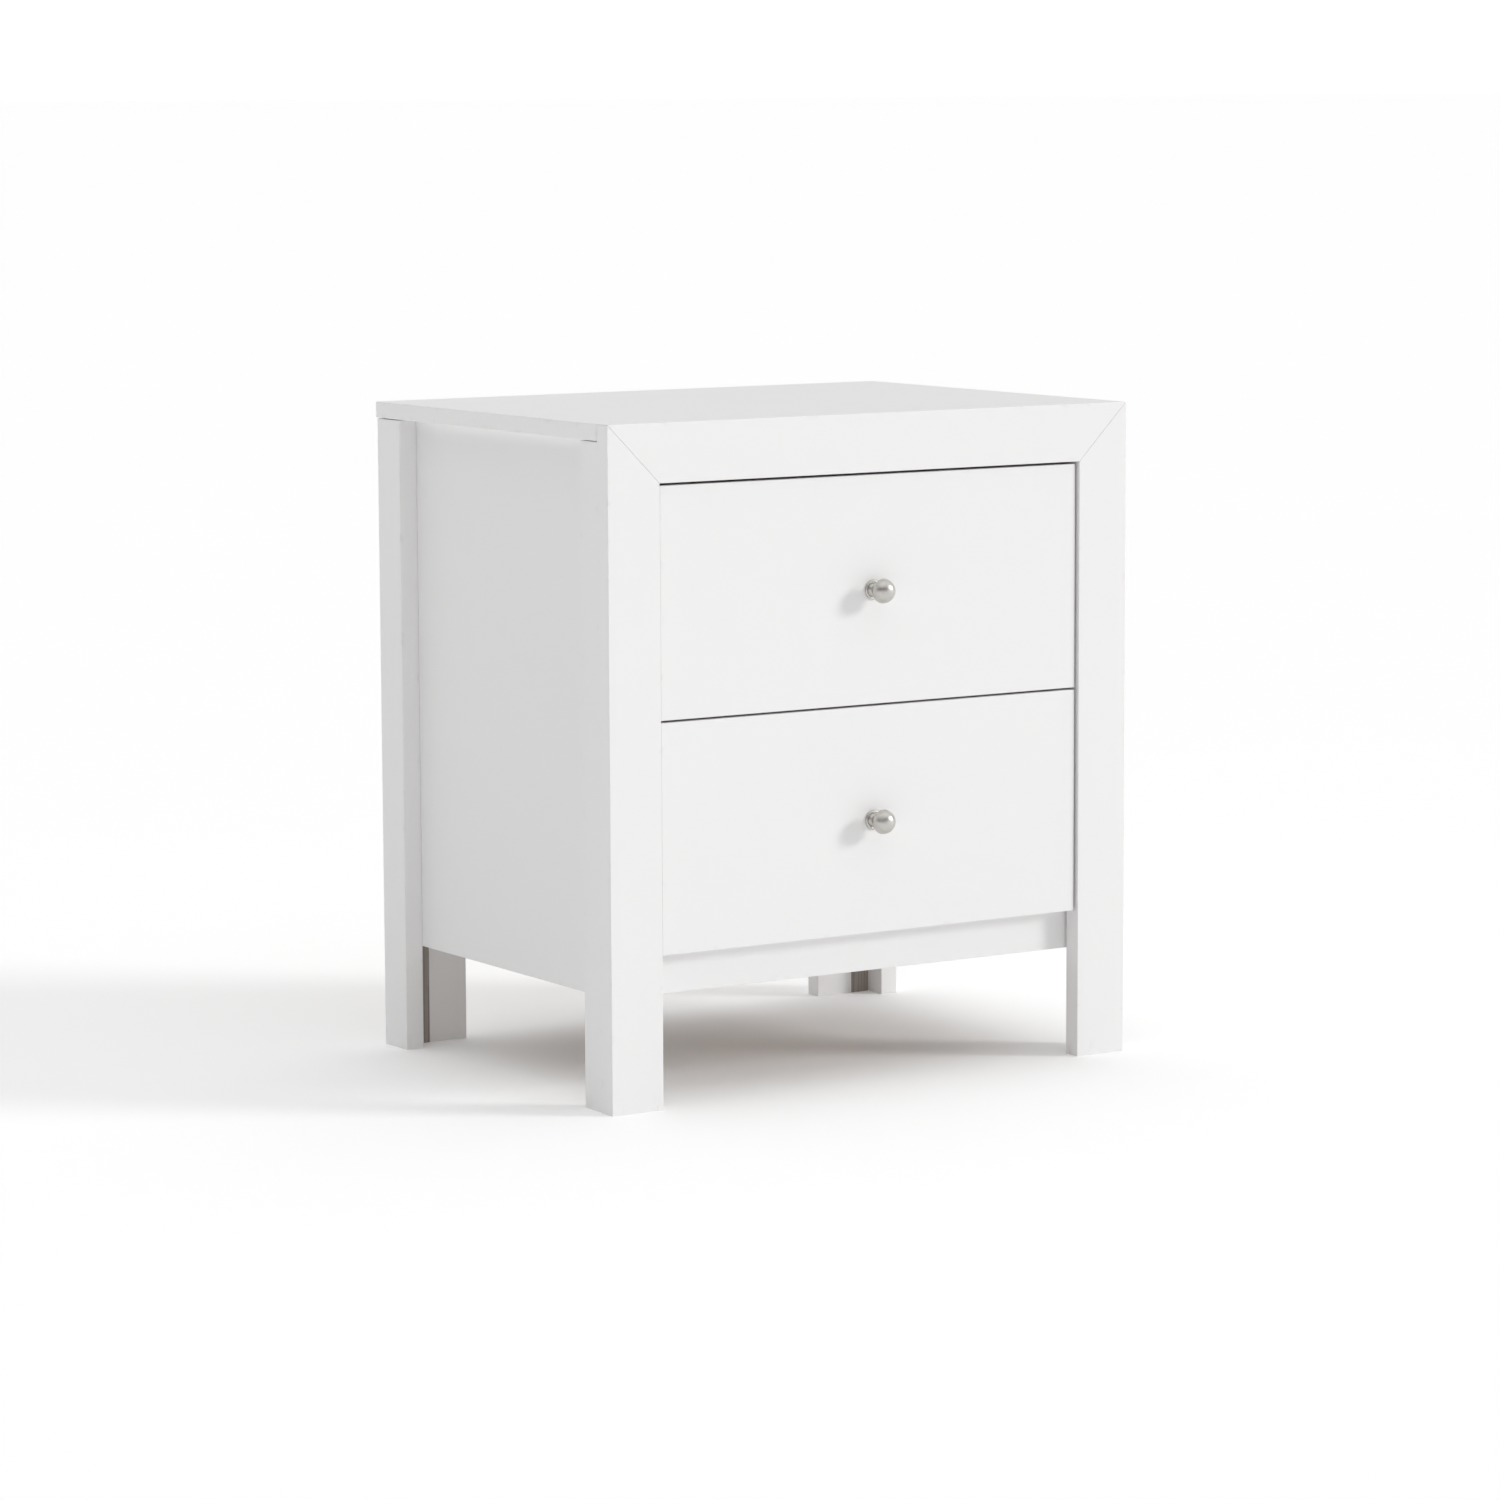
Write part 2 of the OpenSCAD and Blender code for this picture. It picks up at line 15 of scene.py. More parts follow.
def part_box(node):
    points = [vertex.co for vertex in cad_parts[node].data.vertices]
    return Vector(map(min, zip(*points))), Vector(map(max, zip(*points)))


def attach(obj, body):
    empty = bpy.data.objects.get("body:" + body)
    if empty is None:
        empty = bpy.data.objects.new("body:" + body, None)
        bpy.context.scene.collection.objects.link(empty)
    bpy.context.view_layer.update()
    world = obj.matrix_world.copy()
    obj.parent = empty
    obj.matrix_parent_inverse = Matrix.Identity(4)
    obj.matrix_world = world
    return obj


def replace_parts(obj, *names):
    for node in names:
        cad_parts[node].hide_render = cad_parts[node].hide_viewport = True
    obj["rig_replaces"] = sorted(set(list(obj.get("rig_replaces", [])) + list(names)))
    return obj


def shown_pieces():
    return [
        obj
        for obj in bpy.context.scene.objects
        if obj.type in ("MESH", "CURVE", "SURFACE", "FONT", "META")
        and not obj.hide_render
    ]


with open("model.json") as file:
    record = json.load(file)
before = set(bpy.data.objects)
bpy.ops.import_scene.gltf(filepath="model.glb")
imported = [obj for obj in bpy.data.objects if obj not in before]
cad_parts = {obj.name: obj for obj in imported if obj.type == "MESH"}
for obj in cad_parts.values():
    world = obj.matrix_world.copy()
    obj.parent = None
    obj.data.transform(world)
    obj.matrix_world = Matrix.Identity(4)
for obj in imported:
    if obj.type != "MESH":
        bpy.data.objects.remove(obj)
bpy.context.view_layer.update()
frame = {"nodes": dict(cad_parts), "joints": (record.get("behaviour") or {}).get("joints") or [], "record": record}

# %% [markdown]
# ## What each node is
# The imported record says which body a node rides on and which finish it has. Two small tables keep that at
# hand, so that a piece can be made from its node's name alone.

# %% Tables of bodies and finishes
MM = 0.001
body_of = {n: b for b, nodes in frame["record"]["behaviour"]["bodies"].items() for n in nodes}
finish_of = {part["node"]: part["material_slot"] for part in frame["record"]["subparts"]}
bodies, slots = set(body_of.values()), set(finish_of.values())
print(len(body_of), "nodes on", len(bodies), "bodies in", len(slots), "finishes")


# %% [markdown]
# ## Sums in a material
# A material is a network of nodes, and its sums are easier to read as sums. A `Wire` is one output of one
# node. Adding, subtracting or multiplying wires adds the Math nodes that do it, and every other kind of
# node comes from the one method `node`.

# %% The wire class
class Wire:
    """One output of a shader node, which Python's operators can work on."""

    def __init__(self, tree, socket=None):
        self.tree, self.socket = tree, socket

    def node(self, kind, settings=(), inputs=(), out=0):
        """Adds a node, sets it up, joins numbers or wires to its inputs, and gives one of its outputs."""
        made = self.tree.nodes.new(kind)
        for name, value in dict(settings).items():
            setattr(made, name, value)
        for name, value in dict(inputs).items():
            if isinstance(value, Wire):
                self.tree.links.new(value.socket, made.inputs[name])
            else:
                made.inputs[name].default_value = value
        return Wire(self.tree, made.outputs[out])

    def sum(self, operation, *values):
        return self.node("ShaderNodeMath", {"operation": operation}, dict(enumerate(values)))

    def __add__(self, other):
        return self.sum("ADD", self, other)

    def __sub__(self, other):
        return self.sum("SUBTRACT", self, other)

    def __rsub__(self, other):
        return self.sum("SUBTRACT", other, self)

    def __mul__(self, other):
        return self.sum("MULTIPLY", self, other)

    __radd__, __rmul__ = __add__, __mul__


# %% [markdown]
# ## Small words for materials
# Nearly every finish is made of the same few ideas: noise of some size, a soft step that turns noise into
# patches, a blend between two colours, and a height that tilts the light. Each gets a word of its own.

# %% Noise, steps, blends and height
def noise(place, scale, detail=2.0):
    """Cloudy numbers round 0.5; scale is how many clouds fit in a metre."""
    return place.node("ShaderNodeTexNoise", {}, {"Vector": place, "Scale": scale, "Detail": detail})


def stretched(place, *scale):
    """The same place counted in other units along each axis."""
    return place.node("ShaderNodeMapping", {}, {"Vector": place, "Scale": scale})


def step(wire, low, high):
    """0 below low, 1 above high, and an S-shaped rise between them."""
    settings = {"interpolation_type": "SMOOTHSTEP"}
    return wire.node("ShaderNodeMapRange", settings, {"Value": wire, "From Min": low, "From Max": high})


def blend(mask, first, second):
    """The first colour where mask is 0 and the second where it is 1."""
    first, second = [c if isinstance(c, Wire) else (*c, 1.0) for c in (first, second)]
    return mask.node("ShaderNodeMix", {"data_type": "RGBA"}, {0: mask, 6: first, 7: second}, out=2)


def raised(height, depth):
    """A normal for a surface that stands up to depth metres proud where height is 1."""
    return height.node("ShaderNodeBump", {}, {"Strength": 1.0, "Distance": depth, "Height": height}, out=0)


def own(start, name, out="Fac"):
    """A number or vector that the piece's mesh carries under a name."""
    return start.node("ShaderNodeAttribute", {"attribute_name": name}, out=out)


finishes = {}


def finish(name, recipe, **fixed):
    """A material: fixed numbers sit on the shader itself, and recipe gives what varies over the surface."""
    made = bpy.data.materials.new(name)
    made.use_nodes = True
    shader = made.node_tree.nodes["Principled BSDF"]
    for socket, value in fixed.items():
        shader.inputs[socket.replace("_", " ")].default_value = value
    for socket, wire in recipe(Wire(made.node_tree)).items():
        made.node_tree.links.new(wire.socket, shader.inputs[socket])
    finishes[name] = made
    print(name, len(made.node_tree.nodes), "nodes")


# %% [markdown]
# ## White lacquer
# The outside is fibreboard sprayed with satin white lacquer. Sprayed lacquer dries with a very shallow
# skin like orange peel, a few millimetres across. It is a touch thinner on the sharp edges, so the grey of
# the board shows through there in spots, and the feet pick up scuffs from the floor. The mesh carries a
# number, `arris`, that is 1 on an edge and 0 a few millimetres in.

# %% White lacquer
def lacquer(start):
    place = start.node("ShaderNodeTexCoord", out="Object")
    cloud = noise(place, 3.5, 3.0)
    peel = noise(place, 330.0, 2.0)
    mist = noise(place, 1900.0, 1.0)
    thin = own(start, "arris") * step(noise(place, 70.0, 4.0), 0.56, 0.74)
    up = start.node("ShaderNodeSeparateXYZ", {}, {0: place}, out="Z")
    scuff = (1 - step(up, 0.0, 0.018)) * step(noise(stretched(place, 90.0, 90.0, 25.0), 1.0, 4.0), 0.54, 0.75)
    colour = blend(cloud, (0.882, 0.876, 0.874), (0.866, 0.860, 0.857))
    colour = blend(thin * 0.16, colour, (0.56, 0.52, 0.46))
    colour = blend(scuff * 0.3, colour, (0.48, 0.45, 0.41))
    return {
        "Base Color": colour,
        "Roughness": 0.37 + 0.10 * cloud + 0.06 * mist + 0.25 * thin + 0.25 * scuff,
        "Normal": raised(peel * 0.8 + mist * 0.2 - thin * 0.2, 0.00004),
    }


finish("white_lacquer", lacquer, Specular_IOR_Level=0.42)


# %% [markdown]
# ## White foil
# The drawer boxes and the packers are chipboard wrapped in a matt white foil with a shallow printed grain.
# The grain runs along each board, so the material reads `fibre`, the place counted with the board's long
# way first. Foil is too even for clouds of tone, but its pores catch a little dust.

# %% White foil
def foil(start):
    fibre = own(start, "fibre", "Vector")
    streaks = noise(stretched(fibre, 9.0, 700.0, 700.0), 1.0, 3.0)
    pores = step(noise(stretched(fibre, 60.0, 1700.0, 1700.0), 1.0, 2.0), 0.62, 0.72)
    rubbed = own(start, "arris") * step(noise(fibre, 55.0, 3.0), 0.52, 0.72)
    colour = blend(streaks, (0.80, 0.795, 0.775), (0.85, 0.845, 0.83))
    colour = blend(pores * 0.25 + rubbed * 0.4, colour, (0.55, 0.51, 0.45))
    return {
        "Base Color": colour,
        "Roughness": 0.52 + 0.14 * streaks + 0.12 * rubbed,
        "Normal": raised(streaks * 0.6 - pores * 0.8, 0.00006),
    }


finish("white_foil", foil, Specular_IOR_Level=0.35)


# %% [markdown]
# ## Hardboard
# The back and the drawer bottoms are 3 mm hardboard: one face painted white, the other left brown, with
# the print of the wire mesh it was pressed on. The mesh carries `depth`, which is 0 on the painted face
# and 1 on the brown one, so one material does both, and the cut edges show brown from the middle on.

# %% Hardboard
def hardboard(start):
    fibre = own(start, "fibre", "Vector")
    brown = step(own(start, "depth"), 0.45, 0.55)
    hairs = noise(stretched(fibre, 160.0, 420.0, 420.0), 1.0, 5.0)
    flecks = step(noise(fibre, 900.0, 3.0), 0.58, 0.75)
    weave = noise(fibre, 1400.0, 1.0)
    bare = blend(hairs, (0.17, 0.095, 0.05), (0.33, 0.205, 0.115))
    bare = blend(flecks * 0.5, bare, (0.42, 0.29, 0.18))
    paint = blend(noise(fibre, 5.0, 2.0), (0.80, 0.79, 0.76), (0.84, 0.83, 0.80))
    return {
        "Base Color": blend(brown, paint, bare),
        "Roughness": 0.48 + 0.35 * brown + 0.1 * hairs,
        "Normal": raised(hairs * 0.4 + brown * weave, 0.00012),
    }


finish("hardboard", hardboard, Specular_IOR_Level=0.3)


# %% [markdown]
# ## Bare wood
# The corner posts are planed pine, and the dowels are beech. The posts' dark grey-brown is partly the bare wood
# and partly painted shade, standing in for the shade in the rear legs' inner corners. A board's grain is a slice
# through the tree's rings: count rings by the distance from a far-off pith, bend that distance with slow noise
# along the fibre, and every board comes out with long, slightly wandering lines.

# %% Bare wood
def bare_wood(start):
    fibre = own(start, "fibre", "Vector")
    wander = noise(stretched(fibre, 2.5, 22.0, 22.0), 1.0, 2.0)
    across = fibre.node("ShaderNodeVectorMath", {"operation": "LENGTH"},
                        {0: stretched(fibre, 0.02, 1.0, 1.0)}, out="Value")
    turns = across * 260.0 + wander * 7.0
    rings = turns.sum("FRACT", turns)
    late = step(rings, 0.55, 0.95)
    hairs = noise(stretched(fibre, 35.0, 1500.0, 1500.0), 1.0, 3.0)
    worn = own(start, "arris") * step(noise(fibre, 90.0, 3.0), 0.5, 0.7)
    # painted shade: these dark grey-browns are partly bare pine and partly the shade of the rear legs' inner
    # corners
    colour = blend(late, (0.40, 0.36, 0.325), (0.29, 0.25, 0.22))
    colour = blend(hairs * 0.35 + worn * 0.3, colour, (0.22, 0.19, 0.165))
    return {
        "Base Color": colour,
        "Roughness": 0.55 + 0.2 * hairs,
        "Normal": raised(hairs * 0.7 - late * 0.4, 0.0001),
    }


finish("bare_wood", bare_wood, Specular_IOR_Level=0.3)


# %% [markdown]
# ## Brushed nickel
# The knobs are turned from zinc alloy, brushed on the lathe and nickel plated, so the fine lines run round
# the axis. The mesh carries `fibre` as (cosine, sine, length along the profile): noise that is stretched
# round the axis and squeezed along the profile gives those lines, with no seam where the turn closes.

# %% Brushed nickel
def nickel(start):
    turn = own(start, "fibre", "Vector")
    place = start.node("ShaderNodeTexCoord", out="Object")
    lines = noise(stretched(turn, 1.6, 1.6, 5200.0), 1.0, 2.0)
    bands = noise(stretched(turn, 0.7, 0.7, 900.0), 1.0, 2.0)
    touch = step(noise(place, 130.0, 3.0), 0.5, 0.72)
    colour = blend(bands * 0.6 + lines * 0.4, (0.50, 0.485, 0.455), (0.66, 0.645, 0.615))
    return {
        "Base Color": blend(touch * 0.18, colour, (0.42, 0.40, 0.37)),
        "Roughness": 0.30 + 0.16 * lines + 0.08 * touch,
        "Normal": raised(lines, 0.000012),
    }


finish("brushed_nickel", nickel, Metallic=1.0)


# %% [markdown]
# ## Enamel, zinc and nylon
# The runners are steel strip with baked white enamel, which the rollers polish to grey streaks along their
# path. The screws and cams are zinc plated: bright, bluish, and blotched where the plate's crystals
# differ. The rollers are natural nylon, milky and slightly warm, with faint flow marks from the mould.

# %% Enamel, zinc and nylon
def enamel(start):
    fibre = own(start, "fibre", "Vector")
    skin = noise(fibre, 700.0, 2.0)
    tracks = step(noise(stretched(fibre, 7.0, 1100.0, 1100.0), 1.0, 3.0), 0.6, 0.75)
    colour = blend(skin * 0.5, (0.82, 0.82, 0.805), (0.87, 0.87, 0.86))
    return {
        "Base Color": blend(tracks * 0.35, colour, (0.52, 0.52, 0.53)),
        "Roughness": 0.34 + 0.12 * skin + 0.1 * tracks,
        "Normal": raised(skin * 0.8 - tracks * 0.4, 0.00003),
    }


def zinc(start):
    place = start.node("ShaderNodeTexCoord", out="Object")
    crystals = noise(place, 520.0, 3.0)
    clouds = noise(place, 90.0, 2.0)
    colour = blend(crystals * 0.6 + clouds * 0.4, (0.50, 0.515, 0.54), (0.70, 0.71, 0.72))
    return {
        "Base Color": colour,
        "Roughness": 0.24 + 0.2 * clouds + 0.08 * crystals,
        "Normal": raised(crystals, 0.00001),
    }


def nylon(start):
    turn = own(start, "fibre", "Vector")
    place = start.node("ShaderNodeTexCoord", out="Object")
    flow = noise(stretched(turn, 2.0, 2.0, 500.0), 1.0, 2.0)
    grime = step(noise(place, 240.0, 3.0), 0.56, 0.74)
    colour = blend(flow, (0.84, 0.835, 0.80), (0.90, 0.895, 0.87))
    return {
        "Base Color": blend(grime * 0.2, colour, (0.5, 0.48, 0.44)),
        "Roughness": 0.34 + 0.12 * flow + 0.1 * grime,
        "Normal": raised(flow * 0.5 - grime * 0.5, 0.00004),
    }


finish("runner_enamel", enamel, Specular_IOR_Level=0.5)
finish("zinc_plate", zinc, Metallic=1.0)
finish("nylon", nylon, Subsurface_Weight=0.15, Subsurface_Scale=0.003)


# %% [markdown]
# ## From surface to piece
# A surface here is a small dictionary: its points, its faces, and three numbers that the materials read.
# Several closed surfaces can make one piece, such as the set of screws that one node holds. A piece is
# named for how it is made, rides on its node's body and stands for that node.

# %% Joining surfaces into a piece
MAKERS_WORD = {
    "white_lacquer": "lacquered", "white_foil": "foiled", "hardboard": "pressed", "bare_wood": "planed",
    "brushed_nickel": "turned", "runner_enamel": "folded", "zinc_plate": "plated", "nylon": "moulded",
}
SHARP_FOLD = math.radians(38)


def surface(points, faces, arris=0.0, fibre=None, depth=0.0):
    points = np.asarray(points, float)
    full = np.zeros(len(points))
    return {
        "points": points, "faces": faces, "arris": full + arris, "depth": full + depth,
        "fibre": points if fibre is None else fibre,
    }


def mirrored(part):
    """The same surface on the right: x changes sign, and each face is turned over to stay outward."""
    flip = np.array([-1.0, 1.0, 1.0])
    return {**part, "points": part["points"] * flip, "faces": [face[::-1] for face in part["faces"]]}


def piece(node, *parts):
    """One object from closed surfaces, with its finish, its body and the CAD node that it stands for."""
    starts = np.cumsum([0] + [len(part["points"]) for part in parts])
    faces = [
        [i + start for i in face]
        for part, start in zip(parts, starts.tolist()) for face in part["faces"]]
    slot = finish_of[node]
    mesh = bpy.data.meshes.new(f"{MAKERS_WORD[slot]}_{node}")
    mesh.from_pydata(np.concatenate([part["points"] for part in parts]).tolist(), [], faces)
    for name, kind in (("arris", "FLOAT"), ("depth", "FLOAT"), ("fibre", "FLOAT_VECTOR")):
        values = np.concatenate([part[name] for part in parts]).astype(np.float32)
        mesh.attributes.new(name, kind, "POINT").data.foreach_set(
            "vector" if kind == "FLOAT_VECTOR" else "value", values.ravel())
    mesh.polygons.foreach_set("use_smooth", np.ones(len(faces), bool))
    mesh.set_sharp_from_angle(angle=SHARP_FOLD)
    mesh.materials.append(finishes[slot])
    made = bpy.data.objects.new(mesh.name, mesh)
    bpy.context.scene.collection.objects.link(made)
    weigh = made.modifiers.new("even faces", "WEIGHTED_NORMAL")
    weigh.keep_sharp = True
    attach(made, body_of[node])
    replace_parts(made, node)
    return made


# %% [markdown]
# ## A board with softened edges
# Nobody leaves a board's edge knife sharp: a pass of abrasive takes off half a millimetre, and that thin
# rounded line is what catches the light. A bevel modifier could do it, but working the shape out keeps the
# faces clean. A loop is drawn round the board's outline, once for each height; on the way from one face to
# the other it steps outwards along a quarter circle, runs up the edge, and steps inwards again.

# %% The board function
ARC = np.radians(np.linspace(0, 90, 5))
STRIP = 4 * MM
HAIR = 0.02 * MM


def bands(count, size):
    """Quads between each loop of points and the next one; the last point of a loop joins its first."""
    i, j = np.meshgrid(np.arange(count - 1), np.arange(size), indexing="ij")
    k = (j + 1) % size
    here, there = i * size, (i + 1) * size
    return np.stack([here + j, here + k, there + k, there + j], -1).reshape(-1, 4).tolist()


def prism(outline, low, high, axis, arris, flip_depth=False):
    """A board with this outline between two heights.

    The corners run anticlockwise, seen from the high end of the axis. At a height that is
    arris * (1 - cos a) above the low face, the loop is drawn arris * (1 - sin a) inside the outline, for a
    from 0 to 90 degrees; the high face is the same the other way up. A corner moves inwards along the sum of
    its two edges' normals, and is rounded by a small arc."""
    corners = np.asarray(outline, float)
    along = np.roll(corners, -1, 0) - corners
    along /= np.linalg.norm(along, axis=1, keepdims=True)
    after = np.stack([along[:, 1], -along[:, 0]], 1)
    before, along_before = np.roll(after, 1, 0), np.roll(along, 1, 0)
    spread = (before + after) / (1 + (before * after).sum(1, keepdims=True))
    start = np.arctan2(before[:, 1], before[:, 0])
    turn = (np.arctan2(after[:, 1], after[:, 0]) - start) % (2 * np.pi)
    angle = start[:, None] + turn[:, None] * np.linspace(0, 1, len(ARC))
    ray = np.stack([np.cos(angle), np.sin(angle)], -1)

    thick = high - low
    rim, inset = arris * (1 - np.cos(ARC)), arris * (1 - np.sin(ARC))
    wide = thick > 3 * (STRIP + arris)
    straight = [arris + STRIP, thick - arris - STRIP] if wide else [thick / 2]
    heights = np.concatenate([[0], rim, straight, thick - rim[::-1], [thick]])
    insets = np.concatenate([[arris + STRIP], inset, [0] * len(straight), inset[::-1], [arris + STRIP]])
    on_edge = np.concatenate([[0], np.ones(5), [0] * len(straight), np.ones(5), [0]])

    loops = []
    for inward in insets:
        radius = max(1.2 * arris, inward + HAIR)
        centre = corners - radius * spread
        arc = centre[:, None] + (radius - inward) * ray
        loops.append(np.concatenate([
            arc[:, :1] - STRIP * along_before[:, None], arc, arc[:, -1:] + STRIP * along[:, None]
        ], 1).reshape(-1, 2))
    loops = np.array(loops)
    count, size = loops.shape[:2]
    corner = np.tile(np.concatenate([[0], np.ones(len(ARC)), [0]]), len(corners))
    middle = (np.arange(count) >= 6) & (np.arange(count) < count - 6)

    points = np.zeros((count, size, 3))
    points[..., (axis + 1) % 3], points[..., (axis + 2) % 3] = loops[..., 0], loops[..., 1]
    points[..., axis] = low + heights[:, None]
    points = points.reshape(-1, 3)
    faces = bands(count, size) + [list(range(size))[::-1], list(range((count - 1) * size, count * size))]
    depth = np.repeat(heights / thick, size)
    long_way = int(np.argmax(np.ptp(points, axis=0)))
    return surface(
        points, faces, np.maximum(on_edge[:, None], middle[:, None] * corner).ravel(),
        np.roll(points, -long_way, axis=1), 1 - depth if flip_depth else depth)


def slab(node, arris, flip_depth=False, short=((0, 0, 0), (0, 0, 0))):
    """A plain board in its node's box, less what it stops short at each corner; its thin way is the axis."""
    low, high = (np.array(corner) + np.array(shift) * MM for corner, shift in zip(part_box(node), short))
    axis = int(np.argmin(high - low))
    u, v = (axis + 1) % 3, (axis + 2) % 3
    outline = [(low[u], low[v]), (high[u], low[v]), (high[u], high[v]), (low[u], high[v])]
    return prism(outline, low[axis], high[axis], axis, arris, flip_depth)


# %% [markdown]
# ## The mitred front frame
# Two stiles and a top rail meet at 45 degrees, like a picture frame standing on two long legs. A mitre is
# cut after the board is planed, so its own edges are only just eased, and the two ends never close
# perfectly: the joint shows as a hairline. The boards are drawn as four-cornered outlines in the
# (height, width) plane, each stopping a hair short of the joint, and given their thickness.

# %% The mitred frame
EASED, SHORT = 0.35 * MM, 0.13 * MM
rail_low, rail_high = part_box("front_top_rail")
inner = rail_high.x - (rail_high.z - rail_low.z)
piece("front_top_rail", prism(
    [(rail_low.z, SHORT - inner), (rail_high.z, rail_low.x + SHORT),
     (rail_high.z, rail_high.x - SHORT), (rail_low.z, inner - SHORT)],
    rail_low.y, rail_high.y, 1, EASED))
stile = prism(
    [(0, rail_low.x), (rail_high.z - SHORT, rail_low.x), (rail_low.z - SHORT, -inner), (0, -inner)],
    rail_low.y, rail_high.y, 1, EASED)
piece("front_stile_left", stile)
piece("front_stile_right", mirrored(stile))
print("frame width", round(rail_high.z - rail_low.z, 4), "between", round(-inner, 4), "and", round(inner, 4))

# %% [markdown]
# ## The rest of the boards
# Everything else that is flat is a plain rectangle: the top, the leg strips, the panels, the apron, the
# drawer fronts and the boxes. Only the softness of the edge differs: the top is rubbed a little rounder
# because hands meet it, and a cut hardboard edge is hardly touched. Where two lacquered boards meet in the
# open, one stops a little short of the other, so that the seam shows as a fine dark line.

# %% Plain boards
SOFTNESS = {"white_lacquer": 0.5, "white_foil": 0.4, "bare_wood": 0.5, "hardboard": 0.2}
ROUNDER = {"top_panel": 0.8, "upper_drawer_front": 0.7, "lower_drawer_front": 0.7}
OTHER_WAYS = ("front_top_rail", "front_stile_left", "front_stile_right", "frame_dowels")
NONE, BEHIND_FRAME, UNDER_TOP = (0, 0, 0), (0, 0.4, 0), (0, 0, -0.7)
SHORT_AT = {
    "front_leg_side": (BEHIND_FRAME, UNDER_TOP), "rear_leg_side": (NONE, UNDER_TOP),
    "top_panel": (BEHIND_FRAME, NONE),
}
for node, slot in finish_of.items():
    if slot in SOFTNESS and node not in OTHER_WAYS:
        short = SHORT_AT.get(node.removesuffix("_left").removesuffix("_right"), (NONE, NONE))
        arris = ROUNDER.get(node, SOFTNESS[slot]) * MM
        piece(node, slab(node, arris, node.endswith("drawer_bottom"), short))
print("boards", len([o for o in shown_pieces() if "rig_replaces" in o]))


# %% [markdown]
# ## Turned shapes
# Knobs, rollers, rivets and screw heads are all turned: a profile of (radius, height) goes round an axis.
# A profile that starts or ends on the axis closes in one point there, and a profile that comes back to its
# start makes a ring with a hole. A cross-shaped recess for a driver is the same surface pushed in where a
# cross covers it.

# %% The lathe function
def eased_corner(points, radius, steps=4):
    """A profile with each inner corner cut back by radius along both legs and filled by a curve.

    The curve between the cut-back ends p and q past a corner c is (1-t)^2 p + 2t(1-t) c + t^2 q."""
    points = np.asarray(points, float)
    before, corner, after = points[:-2], points[1:-1], points[2:]
    back, on = before - corner, after - corner
    back_long = np.linalg.norm(back, axis=1, keepdims=True)
    on_long = np.linalg.norm(on, axis=1, keepdims=True)
    cut = np.minimum(radius, 0.45 * np.minimum(back_long, on_long))
    p = corner + back / back_long * cut
    q = corner + on / on_long * cut
    t = np.linspace(0, 1, steps + 1)[None, :, None]
    curve = (1 - t) ** 2 * p[:, None] + 2 * t * (1 - t) * corner[:, None] + t ** 2 * q[:, None]
    return np.concatenate([points[:1], curve.reshape(-1, 2), points[-1:]])


def lathe(profile, centre, facing, steps=64, ring=False, cross=None):
    """A turned surface: centre + radius * (cos a * side + sin a * other) + height * facing.

    cross is (half width of an arm, reach, depth): within it the height drops by depth."""
    profile = np.asarray(profile, float)
    facing = np.asarray(facing, float)
    side = np.cross([0.0, 0.0, 1.0] if abs(facing[2]) < 0.5 else [1.0, 0.0, 0.0], facing)
    other = np.cross(facing, side)
    angle = np.linspace(0, 2 * np.pi, steps, endpoint=False)
    poles = [] if ring else [k for k in (0, -1) if profile[k, 0] < 1e-9]
    body = profile[(1 if 0 in poles else 0):(-1 if -1 in poles else None)]
    if ring:
        body = np.concatenate([body, body[:1]])
    x, y = body[:, :1] * np.cos(angle), body[:, :1] * np.sin(angle)
    height = body[:, 1:] + 0 * x
    length = np.concatenate([[0], np.cumsum(np.linalg.norm(np.diff(body, axis=0), axis=1))])
    if cross:
        half, reach, depth = cross
        fade = 0.35 * half

        def arm(across, out):
            edge = np.clip((half - np.abs(across)) / fade + 0.5, 0, 1)
            edge = edge * np.clip((reach - np.abs(out)) / fade, 0, 1)
            return edge * edge * (3 - 2 * edge)

        top = (length > length[-1] - body[-1, 0] - profile[:, 0].max() * 1.02)[:, None]
        height = height - depth * np.maximum(arm(x, y), arm(y, x)) * top
    points = np.asarray(centre, float) + height[..., None] * facing
    points = points + x[..., None] * side + y[..., None] * other
    count = len(body)
    around = np.stack([0 * x + np.cos(angle), 0 * x + np.sin(angle), 0 * x + length[:, None]], -1)
    faces = bands(count, steps)
    points, around = points.reshape(-1, 3), around.reshape(-1, 3)
    j = np.arange(steps)
    k = (j + 1) % steps
    if ring:
        last = (count - 1) * steps
        faces = [[i - last if i >= last else i for i in face] for face in faces]
        points, around = points[:last], around[:last]
    for pole in poles:
        tip, rim = len(points), 0 if pole == 0 else (count - 1) * steps
        drop = cross[2] if cross and pole == -1 else 0
        points = np.vstack([points, np.asarray(centre, float) + (profile[pole, 1] - drop) * facing])
        around = np.vstack([around, [0, 0, length[pole]]])
        fan = (j, k) if pole == -1 else (k, j)
        faces += np.stack([rim + fan[0], rim + fan[1], 0 * j + tip], 1).tolist()
    return surface(points, faces, fibre=around)


# %% [markdown]
# ## The knobs
# Each knob is one turned casting: a foot with a raised lip and a shallow dish inside it, a waist that a
# finger goes behind, and a head with a rounded rim and a low, slightly conical dome. The profile is
# gathered from quarter circles, because a turner's tool leaves those, and every radius comes from the CAD
# knob's own box.

